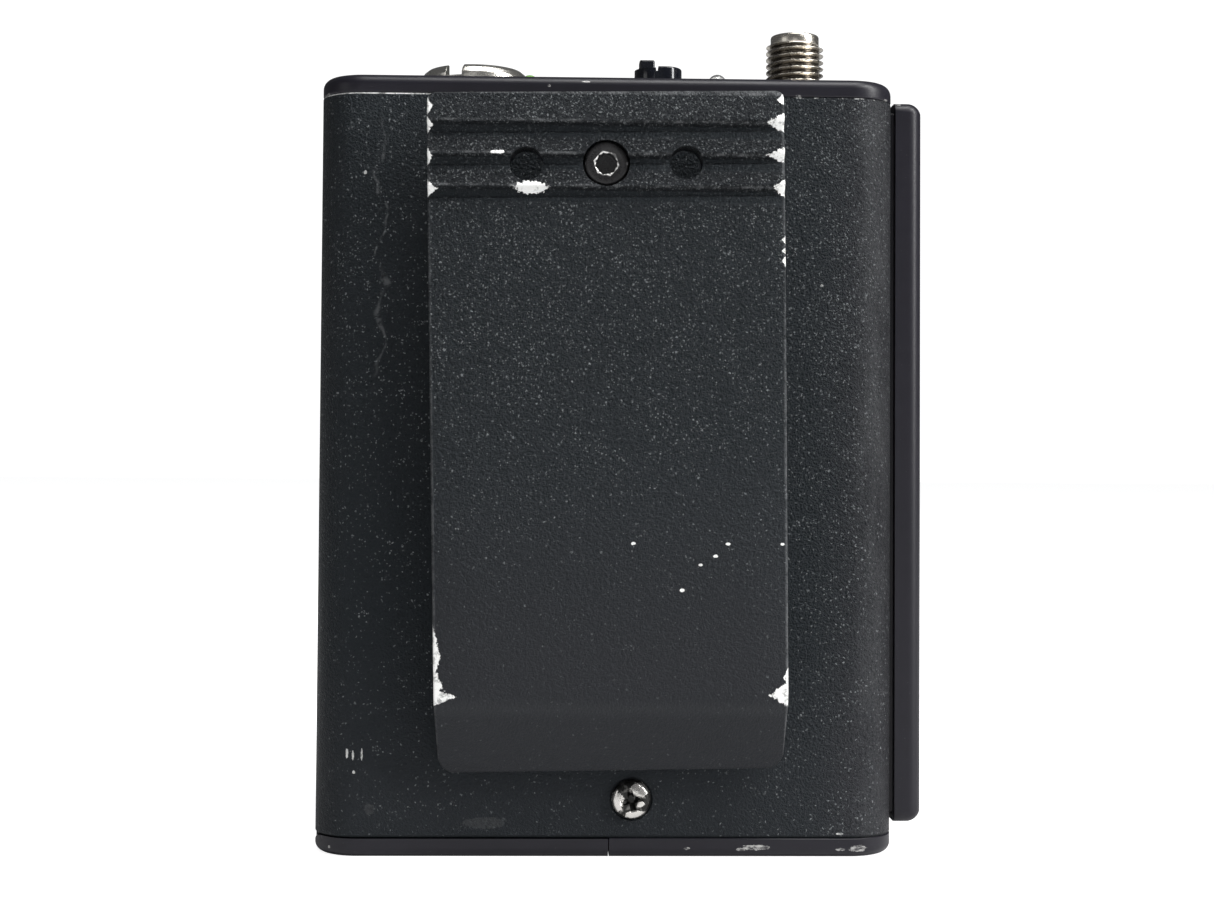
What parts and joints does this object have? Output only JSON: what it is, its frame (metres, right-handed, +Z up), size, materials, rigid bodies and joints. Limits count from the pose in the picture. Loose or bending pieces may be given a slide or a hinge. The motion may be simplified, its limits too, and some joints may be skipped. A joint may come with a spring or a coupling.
{
  "type": "wireless bodypack transmitter",
  "caption": "Slim upright wireless bodypack transmitter with a one-screw belt clip, locking microphone input, threaded antenna socket, side selectors and a hinged battery door.",
  "frame": {"origin": "middle of the case at the underside of the bottom plate, where the upright pack stands", "axes": "+Z up along the case, -Y towards the belt clip, +X towards the side control panel"},
  "size_m": [0.063, 0.0266, 0.0865],
  "materials": {
    "case_coat": "rough speckled black powder coat on aluminium",
    "clip_coat": "rough speckled black powder coat, worn bright at edges",
    "plate_anodised": "smooth black anodised aluminium with a slight purple cast",
    "label_film": "blank satin label film",
    "clip_spacer_black": "black anodised",
    "black_oxide_steel": "black oxide, lightly oiled",
    "bright_steel": "bright steel",
    "spring_steel": "spring temper, bright",
    "nickel": "nickel plate",
    "gold": "gold plate",
    "insulator_black": "moulded black",
    "ptfe": "white fluoropolymer",
    "switch_plastic": "moulded black, semi-gloss",
    "control_rotor": "moulded off-white",
    "clear_lens": "clear lens",
    "green_lens": "green tinted lens",
    "pad_rubber": "closed-cell foam rubber",
    "board_green": "green solder mask",
    "tinned": "tinned",
    "component_black": "moulded epoxy and sleeve"
  },
  "bodies": {
    "root": {"case_shell": "case_coat", "clip_head": "clip_coat", "top_panel": "plate_anodised", "bottom_plate": "plate_anodised", "side_panel": "plate_anodised", "label_plate": "label_film", "clip_spacer": "clip_spacer_black", "catch_block": "clip_spacer_black", "clip_screw": "black_oxide_steel", "top_screws": "black_oxide_steel", "bottom_screws": "black_oxide_steel", "side_screws": "black_oxide_steel", "rear_screw": "bright_steel", "board_screws": "bright_steel", "clip_nut": "bright_steel", "hinge_pin": "bright_steel", "catch_spring": "spring_steel", "jack_nut": "nickel", "jack_shell": "nickel", "sma_shell": "nickel", "sma_nut": "nickel", "contact_positive": "nickel", "contact_negative": "nickel", "jack_pins": "gold", "sma_contact": "gold", "jack_insert": "insulator_black", "selector_body_coarse": "insulator_black", "selector_body_fine": "insulator_black", "switch_body": "insulator_black", "gain_body": "insulator_black", "sma_insulator": "ptfe", "switch_guard": "switch_plastic", "power_led": "clear_lens", "audio_led": "green_lens", "main_board": "board_green", "contact_board": "board_green", "shield_can": "tinned", "crystal": "tinned", "antenna_lead": "tinned", "capacitors": "component_black", "ic_chips": "component_black"},
    "door": {"battery_door": "plate_anodised", "door_pad": "pad_rubber"},
    "clip_spring": {"clip_leaf": "clip_coat"},
    "power_slider": {"switch_slider": "switch_plastic"},
    "gain_control": {"gain_shaft": "control_rotor"},
    "coarse_selector": {"selector_rotor_coarse": "control_rotor"},
    "fine_selector": {"selector_rotor_fine": "control_rotor"}
  },
  "joints": [
    {"name": "door_hinge", "type": "hinge", "parent": "root", "child": "door", "pos_m": [-0.02887, 0, 0.00095], "axis": [0, 1, 0], "range_deg": [0, 100]},
    {"name": "clip_flex", "type": "hinge", "parent": "root", "child": "clip_spring", "pos_m": [-0.00032, -0.01525, 0.0652], "axis": [-0.9999, 0, -0.0157], "range_deg": [0, 5], "stiffness_Nm_per_rad": 4},
    {"name": "power_slide", "type": "slide", "parent": "root", "child": "power_slider", "axis": [1, 0, 0], "range_m": [0, 0.0022]},
    {"name": "gain_turn", "type": "hinge", "parent": "root", "child": "gain_control", "pos_m": [-0.0022, 0, 0.078], "axis": [0, 0, -1], "range_deg": [0, 270]},
    {"name": "coarse_turn", "type": "hinge", "parent": "root", "child": "coarse_selector", "pos_m": [0.03, 0, 0.058], "axis": [1, 0, 0], "continuous": true},
    {"name": "fine_turn", "type": "hinge", "parent": "root", "child": "fine_selector", "pos_m": [0.03, 0, 0.046], "axis": [1, 0, 0], "continuous": true}
  ]
}
